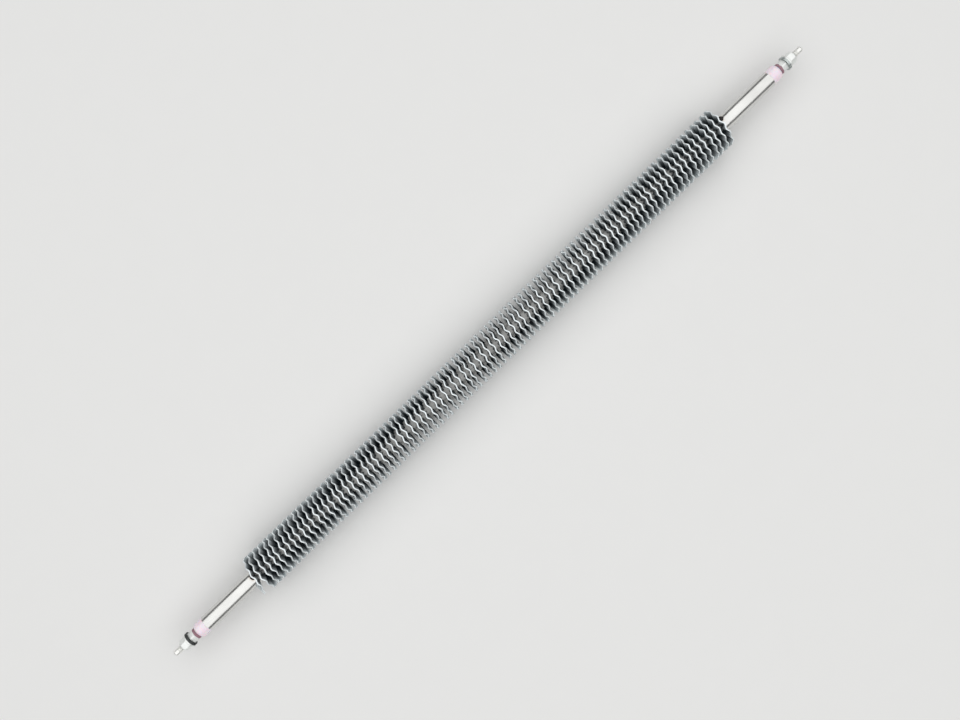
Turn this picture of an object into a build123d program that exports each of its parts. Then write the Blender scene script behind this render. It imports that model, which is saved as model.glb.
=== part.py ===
"""Finned tubular heating element: a straight sheath with a steel tape wound on edge round it.

Millimetres. X runs along the heater, Z is up. The origin lies under the middle of the heater, on the
surface that the fins rest on.
"""

import os
from math import cos, radians, sin, tan

from build123d import *

os.makedirs("parts", exist_ok=True)

# Sheath
SHEATH_D = 13.0
SHEATH_WALL = 0.8
BARE_LEFT = 54.0  # sheath end to first fin
BARE_RIGHT = 52.5  # last fin to sheath end
ROLLED_DEPTH = 0.2  # how far the sheath is rolled down under the winding
ROLLED_RUN_OUT = 7.5  # rolled length past the first and the last fin
MOUTH_CHAMFER = 0.25

# Tape wound on edge and crimped: flats that lean to and fro along the heater, two to a crimp
TAPE_WIDTH = 10.2
TAPE_THICKNESS = 0.5
TAPE_PITCH = 5.18
CRIMP_HEIGHT = 1.5  # from crest to crest, along the heater
WHOLE_TURNS = 96
FLATS_PER_TURN = 14  # an even number, so that the crimps of each turn nest in the next
LAST_TURN_FLATS = 9  # what the tape runs on past its last whole turn
FLATS_TO_START = 4.5  # from under the heater round to where the tape starts
TAPE_SEAT = 0.05  # clearance between the rolled sheath and a flat
TAIL_FLATS = 2  # flats of the loose tail
TAIL_KICK = 5.4  # how far the tip of the tail is bent away from the fins

# Tack welds that hold the tape's ends
WELD_R = 2.0
WELD_OFFSET_LEFT = 0.7  # bead's centre to the side of the tape
WELD_OFFSET_RIGHT = 1.6
WELD_CLEARANCE = 0.05
WELD_PAST_TAIL = 1  # flats from the root of the tail to the left bead
WELD_BEFORE_END = 5  # flats from the right bead to the tape's end

# Insulator
INSULATOR_D = 12.6
INSULATOR_LENGTH = 9.8
INSULATOR_SHOULDER_R = 3.2
SPIGOT_LENGTH = 5.0
SPIGOT_CLEARANCE = 0.1

# Terminal rod
THREAD_D = 5.0
THREAD_CLEARANCE = 0.05
TIP_LENGTH = 7.8  # past the outer nut
TIP_ROUNDING = 1.4
ROD_D = 3.2
ROD_IN_COIL = 12.0

# Terminal stack, from the insulator outwards
SEAL_WASHER_D = 9.3
SEAL_WASHER_THICKNESS = 1.7
NUT_SIDES = 6
NUT_WIDTH = 9.0  # across flats
INNER_NUT_HEIGHT = 5.0
INNER_NUT_FACE_D = 8.6  # round end face left by the bevel
INNER_NUT_BEVEL = 30.0
INNER_NUT_TURN = 0.0
LOCK_WASHER_D = 12.0
LOCK_WASHER_THICKNESS = 1.6
LOCK_WASHER_SLIT = 1.0
LOCK_WASHER_SLANT = 20.0
LOCK_WASHER_TURN = 150.0
FLAT_WASHER_D = 12.4
FLAT_WASHER_THICKNESS = 1.4
FLAT_WASHER_ROUNDING = 0.3
OUTER_NUT_HEIGHT = 7.0
OUTER_NUT_FACE_D = 6.6
OUTER_NUT_BEVEL = 45.0
OUTER_NUT_TURN = 22.0

# Inside the sheath
COLD_LENGTH = 45.0  # sheath end to coil
COIL_WIRE_D = 0.6
COIL_CLEARANCE = 0.05
FILL_CLEARANCE = 0.02
MOUTH_SEAL_LENGTH = 4.0

# Worked out from the sizes above
sheath_r = SHEATH_D / 2
bore_r = sheath_r - SHEATH_WALL
rolled_r = sheath_r - ROLLED_DEPTH
thread_r = THREAD_D / 2
tape_flats = WHOLE_TURNS * FLATS_PER_TURN + LAST_TURN_FLATS
flat_angle = 360 / FLATS_PER_TURN
flat_advance = TAPE_PITCH / FLATS_PER_TURN
finned_length = flat_advance * tape_flats + TAPE_THICKNESS
sheath_length = BARE_LEFT + finned_length + BARE_RIGHT
tape_root = rolled_r + TAPE_SEAT
tape_edge = tape_root + TAPE_WIDTH
corner = 1 / cos(radians(flat_angle / 2))  # a corner between two flats stands out by this factor
axis_height = tape_edge
first_fin_x = BARE_LEFT - sheath_length / 2 + TAPE_THICKNESS / 2
last_fin_x = first_fin_x + flat_advance * tape_flats
thread_hole_r = thread_r + THREAD_CLEARANCE
nut_corner_r = NUT_WIDTH / 2 / cos(radians(180 / NUT_SIDES))
seal_depth = SPIGOT_LENGTH + MOUTH_SEAL_LENGTH
coil_hole_r = ROD_D / 2 + COIL_CLEARANCE
coil_r = coil_hole_r + COIL_WIRE_D
coil_length = sheath_length - 2 * COLD_LENGTH
rod_gap = coil_length - 2 * ROD_IN_COIL
seal_washer_at = INSULATOR_LENGTH
inner_nut_at = seal_washer_at + SEAL_WASHER_THICKNESS
lock_washer_at = inner_nut_at + INNER_NUT_HEIGHT
flat_washer_at = lock_washer_at + LOCK_WASHER_THICKNESS
outer_nut_at = flat_washer_at + FLAT_WASHER_THICKNESS
tip_at = outer_nut_at + OUTER_NUT_HEIGHT + TIP_LENGTH
heater_axis = Axis((0, 0, axis_height), (1, 0, 0))
middle = Plane(origin=(0, 0, axis_height), x_dir=(1, 0, 0), z_dir=(0, -1, 0))


def tape_angle(flat):
    """Angle of the tape's section after so many flats of a left-hand winding, from +Y towards +Z."""
    return -90 - flat_angle * (FLATS_TO_START + flat)


def tape_x(flat):
    """Place of the tape's section along the heater: the crests of the crimps take turns on both sides."""
    return first_fin_x + flat_advance * flat + (-1) ** flat * CRIMP_HEIGHT / 2


def radial(angle):
    """Unit vector square to the heater's axis."""
    return Vector(0, cos(radians(angle)), sin(radians(angle)))


def tape_plane(flat):
    """Plane of the tape's section: its X runs outwards, its Y against the heater's axis."""
    loose = max(TAIL_FLATS - flat, 0) / TAIL_FLATS
    x = tape_x(flat) - TAIL_KICK * loose**2
    outwards = radial(tape_angle(flat))
    return Plane(origin=(x, 0, axis_height), x_dir=outwards, z_dir=outwards.cross(Vector(-1, 0, 0)))


# Sheath: a drawn tube, bare at both ends, a little thinner under the winding
with BuildPart() as sheath:
    with BuildSketch(middle):
        with BuildLine():
            half = sheath_length / 2
            roll_start = first_fin_x - ROLLED_RUN_OUT
            roll_end = last_fin_x + ROLLED_RUN_OUT
            Polyline(
                (-half, bore_r),
                (-half, sheath_r - MOUTH_CHAMFER),
                (-half + MOUTH_CHAMFER, sheath_r),
                (roll_start - ROLLED_DEPTH, sheath_r),
                (roll_start, rolled_r),
                (roll_end, rolled_r),
                (roll_end + ROLLED_DEPTH, sheath_r),
                (half - MOUTH_CHAMFER, sheath_r),
                (half, sheath_r - MOUTH_CHAMFER),
                (half, bore_r),
                close=True,
            )
        make_face()
    revolve(axis=heater_axis)
sheath.part.label = "sheath"
export_step(sheath.part, "parts/sheath.step")

# Tape: one crimped strip of flats, each turned and moved on from the one before, with its tail bent away
with BuildPart() as fin_ribbon:
    for flat in range(tape_flats + 1):
        with BuildSketch(tape_plane(flat)):
            with Locations((corner * (tape_root + tape_edge) / 2, 0)):
                Rectangle(corner * TAPE_WIDTH, TAPE_THICKNESS)
    loft(ruled=True)
fin_ribbon.part.label = "fin_ribbon"
export_step(fin_ribbon.part, "parts/fin_ribbon.step")

# Coil: close turns of wire, as one tube
with BuildPart() as resistance_coil:
    with BuildSketch(Plane.YZ.offset(-coil_length / 2)):
        with Locations((0, axis_height)):
            Circle(coil_r)
            Circle(coil_hole_r, mode=Mode.SUBTRACT)
    extrude(amount=coil_length)
resistance_coil.part.label = "resistance_coil"
export_step(resistance_coil.part, "parts/resistance_coil.step")

# Filling: pressed powder round the rods and the coil, and a core inside the coil
with BuildPart() as magnesia_fill:
    with BuildSketch(middle):
        with BuildLine():
            fill_end = sheath_length / 2 - seal_depth
            fill_r = bore_r - FILL_CLEARANCE
            rod_hole_r = ROD_D / 2 + FILL_CLEARANCE
            coil_space_r = coil_r + FILL_CLEARANCE
            Polyline(
                (-fill_end, fill_r),
                (fill_end, fill_r),
                (fill_end, rod_hole_r),
                (coil_length / 2, rod_hole_r),
                (coil_length / 2, coil_space_r),
                (-coil_length / 2, coil_space_r),
                (-coil_length / 2, rod_hole_r),
                (-fill_end, rod_hole_r),
                close=True,
            )
        make_face()
    revolve(axis=heater_axis)
    with BuildSketch(Plane.YZ.offset(-rod_gap / 2)):
        with Locations((0, axis_height)):
            Circle(coil_hole_r - FILL_CLEARANCE)
    extrude(amount=rod_gap)
magnesia_fill.part.label = "magnesia_fill"
export_step(magnesia_fill.part, "parts/magnesia_fill.step")

# Tack welds: a bead against an outer crest of the tape near each of its ends
for side, end, weld_flat, offset in (
    (-1, "left", TAIL_FLATS + WELD_PAST_TAIL, WELD_OFFSET_LEFT),
    (1, "right", tape_flats - WELD_BEFORE_END, WELD_OFFSET_RIGHT),
):
    tape_side = tape_x(weld_flat) + side * (TAPE_THICKNESS / 2 + WELD_CLEARANCE)
    foot = radial(tape_angle(weld_flat)) * rolled_r + Vector(tape_side + side * offset, 0, axis_height)
    tape_flank = Plane(origin=(tape_side, 0, axis_height), z_dir=(side, 0, 0))
    with BuildPart() as tack_weld:
        with Locations(foot):
            Sphere(WELD_R)
        split(bisect_by=tape_flank)
        with BuildSketch(tape_flank):
            Circle(rolled_r + WELD_CLEARANCE)
        extrude(amount=offset + WELD_R, mode=Mode.SUBTRACT)
    tack_weld.part.label = f"tack_weld_{end}"
    export_step(tack_weld.part, f"parts/tack_weld_{end}.step")

# Terminals: each stacked outwards from the mouth of the sheath
for side, end in ((-1, "left"), (1, "right")):
    mouth = Plane(origin=(side * sheath_length / 2, 0, axis_height), x_dir=(0, 0, 1), z_dir=(side, 0, 0))
    lengthwise = Plane(origin=mouth.origin, x_dir=(side, 0, 0), z_dir=(0, -side, 0))
    outwards = Axis(mouth.origin, mouth.z_dir)

    with BuildPart() as contact_rod:
        with BuildSketch(lengthwise):
            with BuildLine():
                Polyline(
                    (-COLD_LENGTH - ROD_IN_COIL, 0),
                    (-COLD_LENGTH - ROD_IN_COIL, ROD_D / 2),
                    (-seal_depth, ROD_D / 2),
                    (-seal_depth, thread_r),
                    (tip_at, thread_r),
                    (tip_at, 0),
                    close=True,
                )
            make_face()
        revolve(axis=heater_axis)
        fillet(contact_rod.faces().sort_by(outwards)[-1].edges(), TIP_ROUNDING)
    contact_rod.part.label = f"contact_rod_{end}"
    export_step(contact_rod.part, f"parts/contact_rod_{end}.step")

    with BuildPart() as mouth_seal:
        with BuildSketch(mouth.offset(-seal_depth)):
            Circle(bore_r - FILL_CLEARANCE)
            Circle(thread_hole_r, mode=Mode.SUBTRACT)
        extrude(amount=MOUTH_SEAL_LENGTH)
    mouth_seal.part.label = f"mouth_seal_{end}"
    export_step(mouth_seal.part, f"parts/mouth_seal_{end}.step")

    with BuildPart() as insulator:
        with BuildSketch(mouth):
            Circle(INSULATOR_D / 2)
        extrude(amount=INSULATOR_LENGTH)
        shoulder = insulator.faces().sort_by(outwards)[-1].edges()
        fillet(shoulder, INSULATOR_SHOULDER_R)
        with BuildSketch(mouth):
            Circle(bore_r - SPIGOT_CLEARANCE)
        extrude(amount=-SPIGOT_LENGTH)
        with BuildSketch(mouth.offset(-SPIGOT_LENGTH)):
            Circle(thread_hole_r)
        extrude(amount=SPIGOT_LENGTH + INSULATOR_LENGTH, mode=Mode.SUBTRACT)
    insulator.part.label = f"insulator_{end}"
    export_step(insulator.part, f"parts/insulator_{end}.step")

    with BuildPart() as seal_washer:
        with BuildSketch(mouth.offset(seal_washer_at)):
            Circle(SEAL_WASHER_D / 2)
            Circle(thread_hole_r, mode=Mode.SUBTRACT)
        extrude(amount=SEAL_WASHER_THICKNESS)
    seal_washer.part.label = f"seal_washer_{end}"
    export_step(seal_washer.part, f"parts/seal_washer_{end}.step")

    # Nuts: a hexagon cut by a turned bevel, on both ends of the inner nut and on the outer end of the other
    for nut_name, start, height, face_d, bevel, turn, bevelled_ends in (
        ("inner_nut", inner_nut_at, INNER_NUT_HEIGHT, INNER_NUT_FACE_D, INNER_NUT_BEVEL, INNER_NUT_TURN, 2),
        ("outer_nut", outer_nut_at, OUTER_NUT_HEIGHT, OUTER_NUT_FACE_D, OUTER_NUT_BEVEL, OUTER_NUT_TURN, 1),
    ):
        bevel_length = (nut_corner_r - face_d / 2) * tan(radians(bevel))
        with BuildPart() as nut:
            with BuildSketch(mouth.offset(start)):
                RegularPolygon(NUT_WIDTH / 2, NUT_SIDES, major_radius=False, rotation=turn)
                Circle(thread_hole_r, mode=Mode.SUBTRACT)
            extrude(amount=height)
            with BuildSketch(lengthwise):
                with BuildLine():
                    back_r = face_d / 2 if bevelled_ends == 2 else nut_corner_r
                    Polyline(
                        (start, 0),
                        (start, back_r),
                        (start + bevel_length, nut_corner_r),
                        (start + height - bevel_length, nut_corner_r),
                        (start + height, face_d / 2),
                        (start + height, 0),
                        close=True,
                    )
                make_face()
            revolve(axis=heater_axis, mode=Mode.INTERSECT)
        nut.part.label = f"{nut_name}_{end}"
        export_step(nut.part, f"parts/{nut_name}_{end}.step")

    with BuildPart() as lock_washer:
        with BuildSketch(mouth.offset(lock_washer_at)):
            Circle(LOCK_WASHER_D / 2)
            Circle(thread_hole_r, mode=Mode.SUBTRACT)
        extrude(amount=LOCK_WASHER_THICKNESS)
        slit_centre = mouth.origin + mouth.z_dir * (lock_washer_at + LOCK_WASHER_THICKNESS / 2)
        with BuildSketch(Plane(origin=slit_centre, x_dir=mouth.z_dir, z_dir=radial(LOCK_WASHER_TURN))):
            Rectangle(LOCK_WASHER_D, LOCK_WASHER_SLIT, rotation=LOCK_WASHER_SLANT)
        extrude(amount=LOCK_WASHER_D, mode=Mode.SUBTRACT)
    lock_washer.part.label = f"lock_washer_{end}"
    export_step(lock_washer.part, f"parts/lock_washer_{end}.step")

    with BuildPart() as flat_washer:
        with BuildSketch(mouth.offset(flat_washer_at)):
            Circle(FLAT_WASHER_D / 2)
            Circle(thread_hole_r, mode=Mode.SUBTRACT)
        extrude(amount=FLAT_WASHER_THICKNESS)
        rims = flat_washer.edges().filter_by(GeomType.CIRCLE).group_by(SortBy.RADIUS)[-1]
        fillet(rims, FLAT_WASHER_ROUNDING)
    flat_washer.part.label = f"flat_washer_{end}"
    export_step(flat_washer.part, f"parts/flat_washer_{end}.step")
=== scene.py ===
"""Finned tubular heater: sheath, crimped tape, threads, nuts, welds, finishes, floor, light and camera.

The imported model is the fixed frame. Everything is in metres, with the heater along X and Z up. An angle
round the heater is counted from +Y towards +Z, and one round a terminal from +Z, as its own note says.
"""

import math

import bpy
import numpy as np
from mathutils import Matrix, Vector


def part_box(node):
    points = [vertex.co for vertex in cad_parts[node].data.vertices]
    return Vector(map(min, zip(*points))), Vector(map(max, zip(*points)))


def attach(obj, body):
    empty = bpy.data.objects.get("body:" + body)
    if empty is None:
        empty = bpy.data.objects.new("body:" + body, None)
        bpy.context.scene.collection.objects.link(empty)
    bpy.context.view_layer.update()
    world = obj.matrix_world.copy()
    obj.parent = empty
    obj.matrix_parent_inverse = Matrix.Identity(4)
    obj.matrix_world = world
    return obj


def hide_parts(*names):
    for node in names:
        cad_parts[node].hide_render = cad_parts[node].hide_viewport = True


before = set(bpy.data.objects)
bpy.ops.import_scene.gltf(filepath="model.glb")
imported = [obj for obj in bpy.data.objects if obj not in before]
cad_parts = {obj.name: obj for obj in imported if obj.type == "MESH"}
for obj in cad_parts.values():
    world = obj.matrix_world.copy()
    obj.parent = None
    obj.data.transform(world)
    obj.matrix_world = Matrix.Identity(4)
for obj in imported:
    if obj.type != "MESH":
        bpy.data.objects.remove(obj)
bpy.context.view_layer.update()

bl_info = {
    "name": "Finned Heater",
    "version": (1, 0, 0),
    "blender": (4, 5, 0),
    "location": "3D View > Sidebar > Heater",
    "description": "Builds the crimped tape, threads, nuts and finishes of a finned tubular heater",
    "category": "Object",
}

MM = 0.001
ENDS = (("left", -1), ("right", 1))

# Grid steps: round the sheath and along each easing, round a rod, along a thread and over the tip's dome,
# round a nut, round a weld bead and from its foot to its top
SHEATH_AROUND, EASING_STEPS = 128, 12
ROD_AROUND, THREAD_STEPS, DOME_STEPS = 72, 12, 9
NUT_AROUND = 360
BEAD_AROUND, BEAD_RINGS = 90, 40
TAPE_ACROSS = (0, 0.4, 0.8, 1)  # shares of the tape's width that have a row of points

# Slow waves, each with its height, its rate and its start: where the crimps fall, how high they are, how
# far a turn stands from its place, how far its edge leans, and the outline and height of a weld bead
CRIMP_WANDER = ((0.5, 2.3, 1), (0.35, 7.1, 0))
CRIMP_SWELLING = ((0.22, 9.7, 2),)
CRIMP_SWELLING_RATE = 0.83  # the swelling itself comes and goes at this rate
TURN_DRIFT = ((1, 1.9, 0.7), (0.6, 4.4, 0), (0.5, 11.3, 3))
TURN_LEAN = ((1, 2.9, 2),)
BEAD_OUTLINE = ((0.1, 2, 1), (0.03, 7, 0))
BEAD_HEIGHT = ((0.12, 2, 2),)

THIRD_WAVE = 1 / 14  # share of a wave three times as fast, which makes the sides of a crimp straight
TAIL_BEND_ROOT, TAIL_BEND_LOSS = 1.15, 0.35  # share of the tail's bend at the sheath, less at the edge
TAIL_LIGHT = 0.9  # painted light: the loose tail, out of the shade between the turns, is painted nearly as bright as the rim
BEAD_STEEPNESS = 0.8  # power of the dome: lower is steeper at the foot
BEAD_RIPPLES = 9  # half waves from a bead's foot to its top

# A Mix node's sockets for colours, which share their names with others
MIX_ONE, MIX_OTHER, MIX_RESULT = 6, 7, 2


# Settings


def length_setting(name, default, note):
    """A property for a length in metres."""
    return bpy.props.FloatProperty(
        name=name, description=note, default=default, unit="LENGTH", precision=5
    )


def angle_setting(name, degrees, note):
    """A property for an angle, written here in degrees."""
    return bpy.props.FloatProperty(
        name=name, description=note, default=math.radians(degrees), subtype="ANGLE"
    )


def factor_setting(name, default, note):
    """A property for a plain number."""
    return bpy.props.FloatProperty(name=name, description=note, default=default)


def colour_setting(name, default, note):
    """A property for a colour."""
    return bpy.props.FloatVectorProperty(
        name=name, description=note, default=default, size=3, min=0, max=1, subtype="COLOR"
    )


class HeaterTapeSettings(bpy.types.PropertyGroup):
    """Sizes of the tape that is wound on edge"""

    pitch: length_setting("Pitch", 5.18 * MM, "Distance from one turn to the next")
    turns: factor_setting("Turns", 96 + 9 / 14, "Turns of the tape")
    last_crest: length_setting("Last crest", 0.63 * MM, "How far the last crest is past its turn")
    thickness: length_setting("Thickness", 0.5 * MM, "Thickness of the tape")
    rim_swelling: factor_setting("Rim", 0.8, "How much thicker the rim is")
    rim_room: length_setting("Rim room", 0.04 * MM, "How far the rim stays above the floor")
    seat: length_setting("Seat", 0.05 * MM, "Gap between the sheath and the tape's inner edge")
    first_angle: angle_setting("First angle", 154.3, "Where the tape starts")
    crimps: bpy.props.IntProperty(name="Crimps", description="Crimp waves in one turn", default=13)
    crimp_root: length_setting("Crimp at root", 1.15 * MM, "Height of a crimp wave at the sheath")
    crimp_edge: length_setting("Crimp at edge", 0.64 * MM, "Height of a crimp wave at the outer edge")
    drift: length_setting("Drift", 0.16 * MM, "How unevenly the turns stand along the sheath")
    lean: length_setting("Lean", 0.256 * MM, "How far a turn's edge leans along the sheath")
    tail_turns: factor_setting("Tail", 2 / 14, "Turns in the loose tail")
    tail_kick: length_setting("Tail bend", 5.4 * MM, "How far the tail's tip is bent away")
    tail_flatness: factor_setting("Tail flatness", 0.7, "How much the crimps flatten in the tail")
    steps: bpy.props.IntProperty(name="Steps", description="Grid steps in one crimp wave", default=8)


class HeaterSheathSettings(bpy.types.PropertyGroup):
    """Sizes of the tube inside the tape"""

    wall: length_setting("Wall", 0.8 * MM, "Thickness of the tube")
    mouth_chamfer: length_setting("Mouth chamfer", 0.25 * MM, "Chamfer round the tube's ends")
    rolled_depth: length_setting("Rolled depth", 0.2 * MM, "How much thinner the tube is under the tape")
    rolled_start: length_setting("Rolled start", -257.06 * MM, "Where the thinner part starts")
    rolled_end: length_setting("Rolled end", 258.56 * MM, "Where the thinner part ends")
    easing: length_setting("Easing", 4 * MM, "Length over which the tube gets thinner")


class HeaterTerminalSettings(bpy.types.PropertyGroup):
    """Sizes of the rods, nuts and welds"""

    thread_pitch: length_setting("Thread pitch", 0.8 * MM, "Distance from one thread to the next")
    thread_depth: length_setting("Thread depth", 0.4 * MM, "Height of the thread")
    tip_rounding: length_setting("Tip rounding", 1.4 * MM, "Radius of the domed tip")
    rod_d: length_setting("Rod", 3.2 * MM, "Diameter of the rod inside the sheath")
    cold_rod: length_setting("Cold rod", 57 * MM, "Length of the rod inside the sheath")
    seal_depth: length_setting("Seal depth", 9 * MM, "Where the rod's thick end starts inside the sheath")
    nut_width: length_setting("Nut width", 9 * MM, "Width of a nut across its flats")
    nut_hole: length_setting("Nut hole", 5.1 * MM, "Diameter of the hole through a nut")
    mouth_bevel: length_setting("Thread mouth", 0.35 * MM, "Bevel where the thread enters a nut")
    edge_ease: length_setting("Edge ease", 0.12 * MM, "How far a nut's edges are eased")
    corner_ease: length_setting("Corner ease", 0.1 * MM, "How far a nut's corners are rounded off")
    corner_width: angle_setting("Corner width", math.degrees(0.05), "How wide a nut's rounded corner is")
    inner_face_d: length_setting("Inner nut face", 8.6 * MM, "Round end face of the inner nut")
    inner_bevel: angle_setting("Inner nut bevel", 30, "Slope of the inner nut's bevel")
    inner_turn: angle_setting("Inner nut turn", 0, "How far the inner nut is turned")
    outer_face_d: length_setting("Outer nut face", 6.6 * MM, "Round end face of the outer nut")
    outer_bevel: angle_setting("Outer nut bevel", 45, "Slope of the outer nut's bevel")
    outer_turn: angle_setting("Outer nut turn", 22, "How far the outer nut is turned")
    plain_tip: length_setting("Plain tip", 4.2 * MM, "Length of the tip with no thread")
    weld_height: length_setting("Weld height", 2.2 * MM, "Height of a weld bead")
    weld_width: length_setting("Weld width", 5.2 * MM, "Width of a weld bead round the sheath")
    weld_spread: factor_setting("Weld spread", 1.35, "How far a bead has run out")
    weld_ripple: length_setting("Weld ripple", 0.35 * MM, "Height of the ripples on a weld bead")
    weld_offset: length_setting("Weld offset", 0.9 * MM, "How far a bead has run towards its terminal")
    weld_foot: length_setting("Weld foot", 0.05 * MM, "How deep a bead's foot is in the rolled sheath")


class HeaterFinishSettings(bpy.types.PropertyGroup):
    """Colours of the finishes"""

    sheath: colour_setting("Sheath", (0.74, 0.74, 0.72), "Bright drawn steel")
    heat_tint: colour_setting("Heat tint", (0.42, 0.34, 0.26), "Steel tinted by the welds' heat")
    # The tape's two colours are the ends of painted light: the lit colour at the rim and in the tail, and
    # painted shade at the root between the turns
    tape: colour_setting("Tape", (0.90, 0.96, 0.98), "Bright rim of the rolled steel tape")
    tape_painted_shade: colour_setting("Tape root", (0.02, 0.035, 0.045), "Dull steel near the sheath")
    zinc: colour_setting("Zinc", (0.88, 0.90, 0.88), "White zinc plate on nuts and washers")
    rod: colour_setting("Rod", (0.92, 0.92, 0.89), "Bright steel of the rods")
    ceramic: colour_setting("Ceramic", (0.93, 0.85, 0.90), "Pale pink insulators")
    ceramic_blush: colour_setting("Ceramic blush", (0.88, 0.68, 0.80), "Darker pink in the insulators")
    seal: colour_setting("Seal", (0.30, 0.165, 0.20), "Dark red seal washers")
    oxide: colour_setting("Oxide", (0.05, 0.055, 0.055), "Dark oxide on the left spring washer")
    grey_steel: colour_setting("Grey steel", (0.52, 0.56, 0.55), "Bare steel of the right spring washer")
    burnt: colour_setting("Burnt", (0.025, 0.02, 0.02), "Burnt steel of the weld beads")
    silicone: colour_setting("Silicone", (0.62, 0.22, 0.18), "Seals in the mouths of the sheath")
    wire: colour_setting("Wire", (0.42, 0.40, 0.38), "Resistance wire of the coil")
    magnesia: colour_setting("Magnesia", (0.86, 0.85, 0.82), "Pressed filling round the coil")


class HeaterStageSettings(bpy.types.PropertyGroup):
    """Floor, light and camera"""

    camera_height: length_setting("Camera height", 776.5 * MM, "Height above the heater's axis")
    camera_x: length_setting("Camera along", -9.3 * MM, "Camera's place along the heater")
    camera_y: length_setting("Camera across", -0.6 * MM, "Camera's place across the heater")
    camera_turn: angle_setting("Camera turn", -44.08, "How the picture is turned about the vertical")
    picture_width: length_setting("Picture width", 745.4 * MM, "Width seen at the heater's axis")
    floor_colour: colour_setting("Floor", (0.80, 0.80, 0.79), "Plain pale floor")
    floor_size: length_setting("Floor size", 6.0, "Width of the floor")
    softbox_size: length_setting("Softbox size", 4.0, "Width of the lamp above")
    softbox_height: length_setting("Softbox height", 1.2, "Height of the lamp above")
    softbox_power: factor_setting("Softbox power", 54, "Power in watts")
    sky: factor_setting("Sky", 0.14, "Strength of the light all round")


SETTINGS = {
    "heater_sheath": HeaterSheathSettings,
    "heater_tape": HeaterTapeSettings,
    "heater_terminals": HeaterTerminalSettings,
    "heater_finishes": HeaterFinishSettings,
    "heater_stage": HeaterStageSettings,
}


# Places read from the frame


def middle_height():
    """Height of the heater's axis."""
    return node_middle("sheath")[2]


def sheath_radius():
    """Radius of the bare sheath."""
    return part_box("sheath")[1][2] - middle_height()


def node_middle(node):
    """Middle of a node's box."""
    low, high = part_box(node)
    return [(a + b) / 2 for a, b in zip(low, high)]


def outward_span(node, side):
    """Places along X where a node starts and ends, counted outwards towards one terminal."""
    low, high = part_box(node)
    return (low[0], high[0]) if side > 0 else (high[0], low[0])


# Mesh making


def ring_faces(rings, around, closed):
    """Quads between each ring of points and the next one, and from the last to the first if closed."""
    rows = np.arange(rings if closed else rings - 1)
    ring, step = np.meshgrid(rows, np.arange(around), indexing="ij")
    here, following = ring * around, (ring + 1) % rings * around
    beside = (step + 1) % around
    corners = (here + step, here + beside, following + beside, following + step)
    return np.stack(corners, axis=-1).reshape(-1, 4)


def signed_volume(points, quads):
    """Six times the volume inside the quads: positive where they face outwards."""
    a, b, c, d = (points[quads[:, k]] for k in range(4))
    return np.sum(np.cross(a, b) * c) + np.sum(np.cross(a, c) * d)


def make_piece(name, grid, closed=False, sharp=40):
    """A piece on the body from a grid of points (rings, around, 3). Open ends get a flat cap each.

    Edges stay sharp where the faces turn by more than the given number of degrees.
    """
    rings, around = grid.shape[:2]
    points = grid.reshape(-1, 3)
    quads = ring_faces(rings, around, closed)
    first_cap = np.arange(around)[::-1]
    last_cap = np.arange(around) + (rings - 1) * around
    if signed_volume(points, quads) < 0:
        quads, first_cap, last_cap = quads[:, ::-1], first_cap[::-1], last_cap[::-1]
    loops = quads.ravel() if closed else np.concatenate([quads.ravel(), first_cap, last_cap])
    starts = np.arange(len(quads)) * 4
    if not closed:
        starts = np.concatenate([starts, [len(quads) * 4, len(quads) * 4 + around]])
    mesh = bpy.data.meshes.new(name)
    mesh.vertices.add(len(points))
    mesh.vertices.foreach_set("co", points.astype(np.float32).ravel())
    mesh.loops.add(len(loops))
    mesh.loops.foreach_set("vertex_index", loops.astype(np.int32))
    mesh.polygons.add(len(starts))
    mesh.polygons.foreach_set("loop_start", starts.astype(np.int32))
    mesh.update(calc_edges=True)
    mesh.validate()
    mesh.shade_smooth()
    mesh.set_sharp_from_angle(angle=math.radians(sharp))
    piece = bpy.data.objects.new(name, mesh)
    bpy.context.scene.collection.objects.link(piece)
    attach(piece, "root")
    return piece


def mark_points(piece, name, values):
    """Stores one number for each point, which a finish can read by its name."""
    attribute = piece.data.attributes.new(name, "FLOAT", "POINT")
    attribute.data.foreach_set("value", values.astype(np.float32).ravel())


# Shapes


def slow_waves(value, terms):
    """A sum of sines of a value, each with its height, its rate and its start."""
    return sum(height * np.sin(rate * value + start) for height, rate, start in terms)


def round_sheath(along, radius, angle):
    """Points at a place along X, a radius, and an angle counted from +Y towards +Z."""
    height = middle_height()
    places = np.broadcast_arrays(along, radius * np.cos(angle), height + radius * np.sin(angle))
    return np.stack(places, axis=-1)


def tail_share(size, turn):
    """How far into the loose tail a place is: nothing at its root, one at its tip."""
    return np.clip(1 - turn / size.tail_turns, 0, 1)


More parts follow.
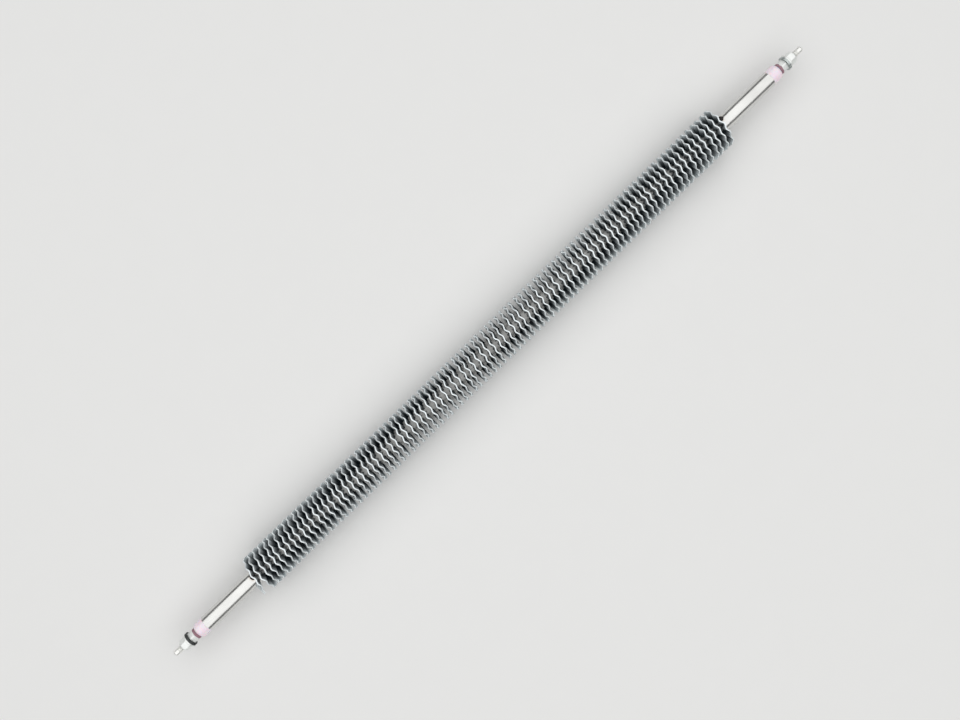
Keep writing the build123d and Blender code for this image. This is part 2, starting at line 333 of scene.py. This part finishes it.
def tape_middle(size, tube, turn, across):
    """Middle of the tape's thickness, at a number of turns and a share of the width.

    The radius grows from the sheath to the edge with the share. The angle falls by a full circle in each
    turn, which makes the winding left-handed. The place along the heater grows by the pitch in each turn,
    plus a crimp wave, plus a slow uneven drift and a lean that grows with the share, less the tail's bend,
    which grows with the square of the distance into the tail and is greatest at the sheath. A crimp wave
    is a rounded triangle wave, highest at the sheath and flattened in the tail.
    """
    root = sheath_radius() - tube.rolled_depth + size.seat
    edge = middle_height() - size.rim_room
    radius = root + across * (edge - root)
    angle = size.first_angle - 2 * np.pi * turn
    phase = 2 * np.pi * size.crimps * turn + slow_waves(turn, CRIMP_WANDER)
    wave = np.sin(phase) - THIRD_WAVE * np.sin(3 * phase)
    into_tail = tail_share(size, turn)
    swelling = slow_waves(turn, CRIMP_SWELLING) * np.sin(CRIMP_SWELLING_RATE * turn)
    swell = (1 + swelling) * (1 - size.tail_flatness * into_tail)
    crimp = wave * swell * (size.crimp_root + across * (size.crimp_edge - size.crimp_root))
    drift = size.drift * slow_waves(turn, TURN_DRIFT)
    lean = size.lean * across * slow_waves(turn, TURN_LEAN)
    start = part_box("fin_ribbon")[1][0] - size.last_crest - size.pitch * size.turns
    bend = size.tail_kick * into_tail**2 * (TAIL_BEND_ROOT - TAIL_BEND_LOSS * across)
    along = start + size.pitch * turn + crimp + drift + lean - bend
    return round_sheath(along, radius, angle)


def tape_grid(size, tube):
    """Rings round the tape's section: its middle surface moved half the thickness to each side.

    The way to each side is the cross product of the surface's slopes along and across the tape. The rim
    is a little thicker, by the sixth power of the share of the width. The first half of a ring runs from
    the root to the edge, and the second half back on the other side. The marks are what the finish reads:
    the share, how much light reaches a place, which is more in the tail, and the turn.
    """
    turn = np.linspace(0, size.turns, round(size.turns * size.crimps * size.steps) + 1)
    turns, shares = np.meshgrid(turn, TAPE_ACROSS, indexing="ij")
    middle = tape_middle(size, tube, turns, shares)
    slope_along, slope_across = np.gradient(middle, axis=(0, 1))
    square = np.cross(slope_along, slope_across)
    square /= np.linalg.norm(square, axis=-1, keepdims=True)
    half = square * size.thickness / 2 * (1 + size.rim_swelling * shares[..., None] ** 6)
    grid = np.concatenate([middle + half, (middle - half)[:, ::-1]], axis=1)
    # Painted light: the light mark grows from painted shade at the root to a painted highlight at the rim,
    # and is raised in the tail, which is painted as lit
    light = np.maximum(shares, TAIL_LIGHT * np.sqrt(tail_share(size, turns)))
    marks = {"across": shares, "light": light, "turn": turns}
    return grid, {name: np.concatenate([mark, mark[:, ::-1]], axis=1) for name, mark in marks.items()}


def sheath_grid(size):
    """Rings round the tube's section: along the outside from end to end, and back through the bore.

    The radius is the full one at both ends and smaller under the tape. It eases from one to the other as
    half a cosine wave, beside the place where the thinner part starts or ends.
    """
    left, right = (corner[0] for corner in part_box("sheath"))
    full = sheath_radius()
    share = np.linspace(0, 1, EASING_STEPS)
    eased = full - size.rolled_depth * (1 - np.cos(np.pi * share)) / 2
    mouth = [full - size.mouth_chamfer, full]
    start = size.rolled_start - size.easing * (1 - share)
    end = size.rolled_end + size.easing * share
    outside = [[left, left + size.mouth_chamfer], start, end, [right - size.mouth_chamfer, right]]
    along = np.concatenate([*outside, [right, left]])[:, None]
    radius = np.concatenate([mouth, eased, eased[::-1], mouth[::-1], [full - size.wall] * 2])[:, None]
    angle = np.linspace(0, 2 * np.pi, SHEATH_AROUND, endpoint=False)[None]
    return round_sheath(along, radius, angle)


def terminal_points(side, start, out, radius, angle):
    """Points at a distance outwards from a start, a radius, and an angle counted from +Z."""
    aside = -side * radius * np.sin(angle)
    up = middle_height() + radius * np.cos(angle)
    return np.stack(np.broadcast_arrays(start + side * out, aside, up), axis=-1)


def rod_grid(size, end, side):
    """A rod: thin inside the sheath, then thick and threaded, with a domed tip.

    The thread's groove is a triangle wave of the distance outwards less the angle's share of a pitch. It
    fades in at the insulator and out before the plain tip. The dome is a quarter circle at the rim.
    """
    node = f"contact_rod_{end}"
    low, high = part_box(node)
    thick = (high[1] - low[1]) / 2
    mouth = outward_span("sheath", side)[1]
    length = abs(outward_span(node, side)[1] - mouth)
    angle = np.linspace(0, 2 * np.pi, ROD_AROUND, endpoint=False)
    threaded = np.arange(0, length - size.tip_rounding, size.thread_pitch / THREAD_STEPS)
    dome = length - size.tip_rounding * (1 - np.sin(np.linspace(0, np.pi / 2, DOME_STEPS)[:-1]))
    inside = [-size.cold_rod, -size.cold_rod, -size.seal_depth, -size.seal_depth]
    out = np.concatenate([inside, threaded, dome, [length]])
    radius = np.full(len(out), thick)
    thin = size.rod_d / 2
    radius[:4] = [thin / 2, thin, thin, thick]  # from inside the flat inner end to the step
    past = np.clip((out - length + size.tip_rounding) / size.tip_rounding, 0, 1)
    radius = radius - size.tip_rounding * (1 - np.sqrt(1 - past**2))
    from_tip = length - size.plain_tip - out
    cut = np.clip(out / size.thread_pitch, 0, 1) * np.clip(from_tip / size.thread_pitch, 0, 1)
    place = (out[:, None] / size.thread_pitch - angle[None] / (2 * np.pi)) % 1
    groove = size.thread_depth * (1 - np.abs(2 * place - 1)) * cut[:, None]
    return terminal_points(side, mouth, out[:, None], radius[:, None] - groove, angle[None])


def nut_grid(size, side, span, face_d, bevel, turn, bevel_back):
    """A nut: rows of points carried round the terminal, from the thread's mouth over the outside and back.

    The hexagon's radius is half the width over the cosine of the angle from the nearest flat's middle, less
    a narrow bell at each corner, which eases its edge. The bevel drops by the tangent of its slope for each
    step of radius past the round face, so it cuts the flats along curves.
    """
    height = abs(span[1] - span[0])
    hole = size.nut_hole / 2
    mouth = hole + size.mouth_bevel
    face = face_d / 2
    angle = np.linspace(0, 2 * np.pi, NUT_AROUND, endpoint=False)
    from_flat = (angle - turn) % (np.pi / 3) - np.pi / 6
    corner_bell = np.exp(-(((np.pi / 6 - np.abs(from_flat)) / size.corner_width) ** 2))
    hexagon = size.nut_width / 2 / np.cos(from_flat) - size.corner_ease * corner_bell
    drop = (hexagon - face) * math.tan(bevel)
    ease = size.edge_ease
    front = [
        (height - drop - ease, hexagon),
        (height - drop, hexagon - ease / 3),
        (height - drop / 2, (hexagon + face) / 2),
        (height - ease / 2, face + ease / 2),
        (height, face - ease),
    ]
    if bevel_back:
        back = [(height - out, radius) for out, radius in front[::-1]]
    else:
        back = [(0, hexagon - 2 * ease), (ease / 3, hexagon - ease / 3), (ease, hexagon)]
    inside = [(height, mouth), (height - size.mouth_bevel, hole), (size.mouth_bevel, hole), (0, mouth)]
    rows = back + front + inside
    out = np.stack([np.broadcast_to(row[0], angle.shape) for row in rows])
    radius = np.stack([np.broadcast_to(row[1], angle.shape) for row in rows])
    return terminal_points(side, span[0], out, radius, angle[None])


def weld_grid(size, tube, node):
    """A weld bead on the sheath: rings from its foot to its top.

    The dome rises by a power of one less the square of the share of its radius. Its outline and height
    swell slowly with the angle, and the outline twists a little towards the top. Fine ripples run round
    the dome, as in metal that froze in rings. The bead follows the round of the sheath.
    """
    low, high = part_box(node)
    centre = node_middle(node)
    seat = sheath_radius() - tube.rolled_depth - size.weld_foot
    middle_angle = math.atan2(centre[2] - middle_height(), centre[1])
    share = np.linspace(1, 0.02, BEAD_RINGS)[:, None]  # the last ring is capped flat
    angle = np.linspace(0, 2 * np.pi, BEAD_AROUND, endpoint=False)[None]
    twisted = 0.06 * np.sin(3 * angle + 2 * share)
    reach = share * (1 + slow_waves(angle, BEAD_OUTLINE) + twisted)
    half = (high[0] - low[0]) / 2 * size.weld_spread
    along = centre[0] + math.copysign(size.weld_offset, centre[0]) + half * reach * np.cos(angle)
    aside = size.weld_width / 2 * reach * np.sin(angle)
    ripple = np.sin(BEAD_RIPPLES * np.pi * share + np.cos(angle)) * share * (1 - share)
    dome = (1 - share**2) ** BEAD_STEEPNESS * (1 + slow_waves(angle, BEAD_HEIGHT))
    rise = size.weld_height * dome + size.weld_ripple * ripple
    return round_sheath(along, seat + rise, middle_angle + aside / seat)


# Finishes


class Finish:
    """A material under way: its nodes, its main shader and short ways to add more."""

    def __init__(self, name, colour, metal=0.0, rough=0.5):
        self.material = bpy.data.materials.new(name)
        self.material.use_nodes = True
        self.material.diffuse_color = (*colour, 1)
        self.nodes = self.material.node_tree.nodes
        self.links = self.material.node_tree.links
        self.shader = self.nodes["Principled BSDF"]
        self.shader.inputs["Base Color"].default_value = (*colour, 1)
        self.shader.inputs["Metallic"].default_value = metal
        self.shader.inputs["Roughness"].default_value = rough
        self.place = self.nodes.new("ShaderNodeTexCoord").outputs["Object"]

    def feed(self, socket, value):
        """Gives a socket a number, a colour or another node's output."""
        if isinstance(value, bpy.types.NodeSocket):
            self.links.new(value, socket)
        else:
            socket.default_value = value if isinstance(value, (int, float)) else (*value, 1)

    def noise(self, scale, stretch=(1, 1, 1), detail=4):
        """Cloudy noise on the object's coordinates, stretched by a factor along each axis."""
        mapping = self.nodes.new("ShaderNodeMapping")
        mapping.inputs["Scale"].default_value = stretch
        texture = self.nodes.new("ShaderNodeTexNoise")
        texture.inputs["Scale"].default_value = scale
        texture.inputs["Detail"].default_value = detail
        texture.inputs["Roughness"].default_value = 0.55
        self.links.new(self.place, mapping.inputs["Vector"])
        self.links.new(mapping.outputs["Vector"], texture.inputs["Vector"])
        return texture.outputs["Fac"]

    def axis(self, name):
        """One of the object's coordinates."""
        node = self.nodes.new("ShaderNodeSeparateXYZ")
        self.links.new(self.place, node.inputs["Vector"])
        return node.outputs[name]

    def apart(self, point):
        """Distance from a point."""
        node = self.nodes.new("ShaderNodeVectorMath")
        node.operation = "DISTANCE"
        node.inputs[1].default_value = point
        self.links.new(self.place, node.inputs[0])
        return node.outputs["Value"]

    def math(self, kind, one, other=0.0):
        """A sum, product or other working of two numbers, each a number or another node's output."""
        node = self.nodes.new("ShaderNodeMath")
        node.operation = kind
        self.feed(node.inputs[0], one)
        self.feed(node.inputs[1], other)
        return node.outputs["Value"]

    def attribute(self, name):
        """A number stored on the points."""
        node = self.nodes.new("ShaderNodeAttribute")
        node.attribute_name = name
        return node.outputs["Fac"]

    def streaks(self, along, across, length, width):
        """Noise drawn out along a surface, from two numbers that grow along and across it."""
        node = self.nodes.new("ShaderNodeCombineXYZ")
        self.links.new(self.math("MULTIPLY", along, 1 / length), node.inputs["X"])
        self.links.new(self.math("MULTIPLY", across, 1 / width), node.inputs["Y"])
        texture = self.nodes.new("ShaderNodeTexNoise")
        texture.inputs["Scale"].default_value = 1
        texture.inputs["Detail"].default_value = 3
        self.links.new(node.outputs["Vector"], texture.inputs["Vector"])
        return texture.outputs["Fac"]

    def wander(self, value, scale):
        """A number that wanders smoothly as another one grows."""
        texture = self.nodes.new("ShaderNodeTexNoise")
        texture.noise_dimensions = "1D"
        texture.inputs["Scale"].default_value = scale
        texture.inputs["Detail"].default_value = 3
        self.links.new(value, texture.inputs["W"])
        return texture.outputs["Fac"]

    def spread(self, value, low, high, low_in=0.3, high_in=0.7):
        """A number moved from one range to another. Most of a noise lies between 0.3 and 0.7."""
        node = self.nodes.new("ShaderNodeMapRange")
        node.inputs["From Min"].default_value = low_in
        node.inputs["From Max"].default_value = high_in
        node.inputs["To Min"].default_value = low
        node.inputs["To Max"].default_value = high
        self.links.new(value, node.inputs["Value"])
        return node.outputs["Result"]

    def mix(self, share, one, other):
        """A colour between two others, each a colour or another node's output."""
        node = self.nodes.new("ShaderNodeMix")
        node.data_type = "RGBA"
        self.links.new(share, node.inputs["Factor"])
        self.feed(node.inputs[MIX_ONE], one)
        self.feed(node.inputs[MIX_OTHER], other)
        return node.outputs[MIX_RESULT]

    def colour(self, output):
        """Leads a colour into the shader."""
        self.links.new(output, self.shader.inputs["Base Color"])

    def shade(self, value, one, other):
        """Colours the surface between two colours, as a noise grows."""
        self.colour(self.mix(self.spread(value, 0, 1), one, other))

    def roughness(self, output):
        """Leads a number into the shader's roughness."""
        self.links.new(output, self.shader.inputs["Roughness"])

    def bump(self, output, depth, strength=0.6):
        """Raises the surface by a number, as deep as given in metres."""
        node = self.nodes.new("ShaderNodeBump")
        node.inputs["Strength"].default_value = strength
        node.inputs["Distance"].default_value = depth
        self.links.new(output, node.inputs["Height"])
        self.links.new(node.outputs["Normal"], self.shader.inputs["Normal"])


def scaled(colour, factor):
    """A colour made lighter or darker."""
    return tuple(min(part * factor, 1) for part in colour)


def drawn_steel(colours):
    """Bright tube with fine draw lines along it, rougher between the turns of the tape and painted darker
    there as shade.

    The painted shade and the roughness start where the turns start. Near each weld the steel is tinted
    brown by the heat.
    """
    finish = Finish("drawn_steel", colours.sheath, metal=1, rough=0.25)
    lines = finish.noise(1400, stretch=(0.02, 1, 1), detail=3)
    clouds = finish.noise(60, stretch=(0.6, 1, 1))
    light, dark = scaled(colours.sheath, 1.08), scaled(colours.sheath, 0.84)
    tinted = finish.mix(finish.spread(clouds, 0, 1), light, dark)
    for end, _ in ENDS:
        near = finish.apart(node_middle(f"tack_weld_{end}"))
        ragged = finish.math("ADD", near, finish.math("MULTIPLY", finish.noise(500), 3 * MM))
        heated = finish.spread(ragged, 1, 0, 3 * MM, 6 * MM)
        tinted = finish.mix(heated, tinted, colours.heat_tint)
    low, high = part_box("fin_ribbon")
    half = min(-low[0], high[0])
    from_middle = finish.math("ABSOLUTE", finish.axis("X"))
    wound = finish.spread(from_middle, 1, 0, half - 6 * MM, half)
    # Painted shade: the sheath is darkened between the turns of the tape
    finish.colour(finish.mix(wound, tinted, scaled(colours.sheath, 0.65)))
    rough, dulled = finish.spread(lines, 0.2, 0.3), finish.math("MULTIPLY", wound, 0.25)
    finish.roughness(finish.math("ADD", rough, dulled))
    finish.bump(lines, 0.015 * MM, 0.3)
    return finish.material


def rolled_tape(colours):
    """Rolled tape with fine rolling lines, painted dark towards the sheath as shade between the turns, and
    bright at the rim as a painted highlight.

    The brightness grows with a power of the light mark, and wanders a little from turn to turn.
    """
    finish = Finish("rolled_tape", colours.tape, metal=0.5, rough=0.4)
    lines = finish.streaks(finish.attribute("turn"), finish.attribute("across"), length=0.12, width=0.03)
    turns = finish.wander(finish.attribute("turn"), 0.6)
    # Painted light and shade: the colour runs from painted shade at the root to the lit colour at the rim,
    # by the light mark, with a fine mottle on the edge of the shade
    shade_mottle = finish.spread(finish.noise(1600, detail=6), -0.05, 0.05)
    share = finish.math("ADD", finish.attribute("light"), shade_mottle)
    bright = finish.math("POWER", finish.math("MAXIMUM", share, 0), finish.spread(turns, 2.2, 3.2))
    lit_tape = finish.mix(finish.spread(lines, 0, 0.3), colours.tape, scaled(colours.tape, 0.6))
    finish.colour(finish.mix(finish.spread(bright, 0, 1, 0, 0.75), colours.tape_painted_shade, lit_tape))
    finish.roughness(finish.spread(lines, 0.3, 0.48))
    finish.bump(lines, 0.02 * MM, 0.3)
    return finish.material


def white_zinc(colours):
    """Pale zinc plate with a faint, fine mottle."""
    finish = Finish("white_zinc", colours.zinc, metal=0.6, rough=0.36)
    clouds = finish.noise(2200, detail=5)
    finish.shade(clouds, colours.zinc, scaled(colours.zinc, 0.93))
    finish.roughness(finish.spread(clouds, 0.3, 0.44))
    finish.bump(finish.noise(5000, detail=2), 0.015 * MM, 0.3)
    return finish.material


def bright_rod(colours):
    """Bright turned steel with a faint mottle."""
    finish = Finish("bright_rod", colours.rod, metal=0.7, rough=0.3)
    clouds = finish.noise(2400)
    finish.shade(clouds, scaled(colours.rod, 1.05), scaled(colours.rod, 0.88))
    finish.roughness(finish.spread(clouds, 0.25, 0.4))
    return finish.material


def pink_ceramic(colours):
    """Fired ceramic with a soft gloss and a faint blush."""
    finish = Finish("pink_ceramic", colours.ceramic, rough=0.26)
    clouds = finish.noise(260, detail=3)
    finish.colour(finish.mix(finish.spread(clouds, 0, 0.7), colours.ceramic, colours.ceramic_blush))
    finish.roughness(finish.spread(clouds, 0.2, 0.34))
    finish.shader.inputs["Subsurface Weight"].default_value = 0.15
    finish.shader.inputs["Subsurface Scale"].default_value = 1 * MM
    finish.bump(finish.noise(3000, detail=2), 0.02 * MM, 0.3)
    return finish.material


def matt_finish(name, colour, metal, low, high):
    """A dull finish, whose shade and roughness vary with a fine grain between two values."""
    finish = Finish(name, colour, metal=metal, rough=(low + high) / 2)
    clouds = finish.noise(1500)
    finish.shade(clouds, scaled(colour, 1.25), scaled(colour, 0.75))
    finish.roughness(finish.spread(clouds, low, high))
    finish.bump(clouds, 0.04 * MM, 0.5)
    return finish.material


# Operators


class HEATER_OT_sheath(bpy.types.Operator):
    """Draws the steel tube, a little thinner under the tape"""

    bl_idname = "heater.sheath"
    bl_label = "Draw Sheath"

    def execute(self, context):
        sheath = make_piece("drawn_sheath", sheath_grid(context.scene.heater_sheath), closed=True)
        sheath.data.materials.append(drawn_steel(context.scene.heater_finishes))
        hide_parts("sheath")
        return {"FINISHED"}


class HEATER_OT_tape(bpy.types.Operator):
    """Winds the crimped tape round the sheath"""

    bl_idname = "heater.tape"
    bl_label = "Wind Tape"

    def execute(self, context):
        grid, marks = tape_grid(context.scene.heater_tape, context.scene.heater_sheath)
        tape = make_piece("crimped_tape", grid, sharp=50)
        for name, values in marks.items():
            mark_points(tape, name, values)
        tape.data.materials.append(rolled_tape(context.scene.heater_finishes))
        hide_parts("fin_ribbon")
        return {"FINISHED"}


class HEATER_OT_rods(bpy.types.Operator):
    """Cuts the threads of both terminal rods"""

    bl_idname = "heater.rods"
    bl_label = "Thread Rods"

    def execute(self, context):
        size = context.scene.heater_terminals
        finish = bright_rod(context.scene.heater_finishes)
        for end, side in ENDS:
            rod = make_piece(f"threaded_rod_{end}", rod_grid(size, end, side))
            rod.data.materials.append(finish)
            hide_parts(f"contact_rod_{end}")
        return {"FINISHED"}


class HEATER_OT_nuts(bpy.types.Operator):
    """Makes the inner and outer nuts of both terminals"""

    bl_idname = "heater.nuts"
    bl_label = "Make Nuts"

    def execute(self, context):
        size = context.scene.heater_terminals
        finish = white_zinc(context.scene.heater_finishes)
        kinds = (
            ("inner_nut", size.inner_face_d, size.inner_bevel, size.inner_turn, True),
            ("outer_nut", size.outer_face_d, size.outer_bevel, size.outer_turn, False),
        )
        for end, side in ENDS:
            for kind, face_d, bevel, turn, bevel_back in kinds:
                span = outward_span(f"{kind}_{end}", side)
                grid = nut_grid(size, side, span, face_d, bevel, turn, bevel_back)
                nut = make_piece(f"bevelled_{kind}_{end}", grid, closed=True, sharp=45)
                nut.data.materials.append(finish)
                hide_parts(f"{kind}_{end}")
        return {"FINISHED"}


class HEATER_OT_welds(bpy.types.Operator):
    """Lays the weld beads that hold the tape's ends"""

    bl_idname = "heater.welds"
    bl_label = "Lay Welds"

    def execute(self, context):
        size, tube = context.scene.heater_terminals, context.scene.heater_sheath
        finish = matt_finish("burnt_weld", context.scene.heater_finishes.burnt, 0.3, 0.45, 0.75)
        for end, _ in ENDS:
            bead = make_piece(f"weld_bead_{end}", weld_grid(size, tube, f"tack_weld_{end}"))
            bead.data.materials.append(finish)
            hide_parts(f"tack_weld_{end}")
        return {"FINISHED"}


class HEATER_OT_finishes(bpy.types.Operator):
    """Gives every part that keeps its own shape a finish"""

    bl_idname = "heater.finishes"
    bl_label = "Apply Finishes"

    def execute(self, context):
        colours = context.scene.heater_finishes
        zinc = bpy.data.materials.get("white_zinc") or white_zinc(colours)
        ceramic = pink_ceramic(colours)
        seal = matt_finish("dark_red_seal", colours.seal, 0, 0.45, 0.7)
        oxide = matt_finish("dark_oxide", colours.oxide, 0.5, 0.35, 0.5)
        grey = matt_finish("grey_spring_steel", colours.grey_steel, 1, 0.3, 0.45)
        silicone = matt_finish("mouth_silicone", colours.silicone, 0, 0.4, 0.6)
        chosen = {
            "resistance_coil": matt_finish("resistance_wire", colours.wire, 1, 0.3, 0.5),
            "magnesia_fill": matt_finish("pressed_magnesia", colours.magnesia, 0, 0.8, 0.95),
        }
        for end, _ in ENDS:
            chosen[f"insulator_{end}"] = ceramic
            chosen[f"seal_washer_{end}"] = seal
            chosen[f"mouth_seal_{end}"] = silicone
            chosen[f"flat_washer_{end}"] = zinc
            chosen[f"lock_washer_{end}"] = oxide if end == "left" else grey
        for node, finish in chosen.items():
            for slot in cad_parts[node].material_slots:
                slot.material = finish
        return {"FINISHED"}


class HEATER_OT_stage(bpy.types.Operator):
    """Sets the floor, the lamp, the sky and the camera"""

    bl_idname = "heater.stage"
    bl_label = "Set Stage"

    def execute(self, context):
        scene = context.scene
        stage = scene.heater_stage
        scene.view_settings.view_transform = "Standard"
        self.lay_floor(scene, stage)
        self.hang_lamp(scene, stage)
        self.light_sky(scene, stage)
        self.place_camera(scene, stage)
        return {"FINISHED"}

    def lay_floor(self, scene, stage):
        """A plain floor with a mottle that is barely seen."""
        half = stage.floor_size / 2
        corners = [(-half, -half, 0), (half, -half, 0), (half, half, 0), (-half, half, 0)]
        mesh = bpy.data.meshes.new("floor")
        mesh.from_pydata(corners, [], [(0, 1, 2, 3)])
        floor = bpy.data.objects.new("floor", mesh)
        finish = Finish("pale_floor", stage.floor_colour, rough=0.9)
        grain = finish.noise(40, detail=2)
        finish.shade(grain, scaled(stage.floor_colour, 1.003), scaled(stage.floor_colour, 0.997))
        mesh.materials.append(finish.material)
        scene.collection.objects.link(floor)

    def hang_lamp(self, scene, stage):
        """A wide square lamp above the heater."""
        lamp = bpy.data.lights.new("softbox", "AREA")
        lamp.shape = "SQUARE"
        lamp.size = stage.softbox_size
        lamp.energy = stage.softbox_power
        holder = bpy.data.objects.new("softbox", lamp)
        holder.location = (0, 0, stage.softbox_height)
        scene.collection.objects.link(holder)

    def light_sky(self, scene, stage):
        """Weak even light from all round."""
        world = bpy.data.worlds.new("soft_sky")
        world.use_nodes = True
        background = world.node_tree.nodes["Background"]
        background.inputs["Color"].default_value = (1, 1, 1, 1)
        background.inputs["Strength"].default_value = stage.sky
        scene.world = world

    def place_camera(self, scene, stage):
        """A camera that looks straight down, with the heater across the picture's corners."""
        camera = bpy.data.cameras.new("camera")
        camera.lens = camera.sensor_width * stage.camera_height / stage.picture_width
        holder = bpy.data.objects.new("camera", camera)
        holder.location = (stage.camera_x, stage.camera_y, middle_height() + stage.camera_height)
        holder.rotation_euler = (0, 0, stage.camera_turn)
        scene.collection.objects.link(holder)
        scene.camera = holder


STEPS = (
    HEATER_OT_sheath,
    HEATER_OT_tape,
    HEATER_OT_rods,
    HEATER_OT_nuts,
    HEATER_OT_welds,
    HEATER_OT_finishes,
    HEATER_OT_stage,
)


class HEATER_PT_panel(bpy.types.Panel):
    """The heater's steps and settings in the sidebar"""

    bl_idname = "HEATER_PT_panel"
    bl_label = "Finned Heater"
    bl_space_type = "VIEW_3D"
    bl_region_type = "UI"
    bl_category = "Heater"

    def draw(self, context):
        for step in STEPS:
            self.layout.operator(step.bl_idname)
        for name, group in SETTINGS.items():
            box = self.layout.box()
            for setting in group.__annotations__:
                box.prop(getattr(context.scene, name), setting)


CLASSES = (*SETTINGS.values(), *STEPS, HEATER_PT_panel)


def register():
    """Adds the settings, the steps and the panel."""
    for each in CLASSES:
        bpy.utils.register_class(each)
    for name, group in SETTINGS.items():
        setattr(bpy.types.Scene, name, bpy.props.PointerProperty(type=group))


def unregister():
    """Takes the settings, the steps and the panel away again."""
    for name in SETTINGS:
        delattr(bpy.types.Scene, name)
    for each in reversed(CLASSES):
        bpy.utils.unregister_class(each)


def main():
    """Builds everything in order."""
    register()
    for step in STEPS:
        group, _, name = step.bl_idname.partition(".")
        getattr(getattr(bpy.ops, group), name)()
    bpy.context.view_layer.update()


if __name__ == "__main__":
    main()
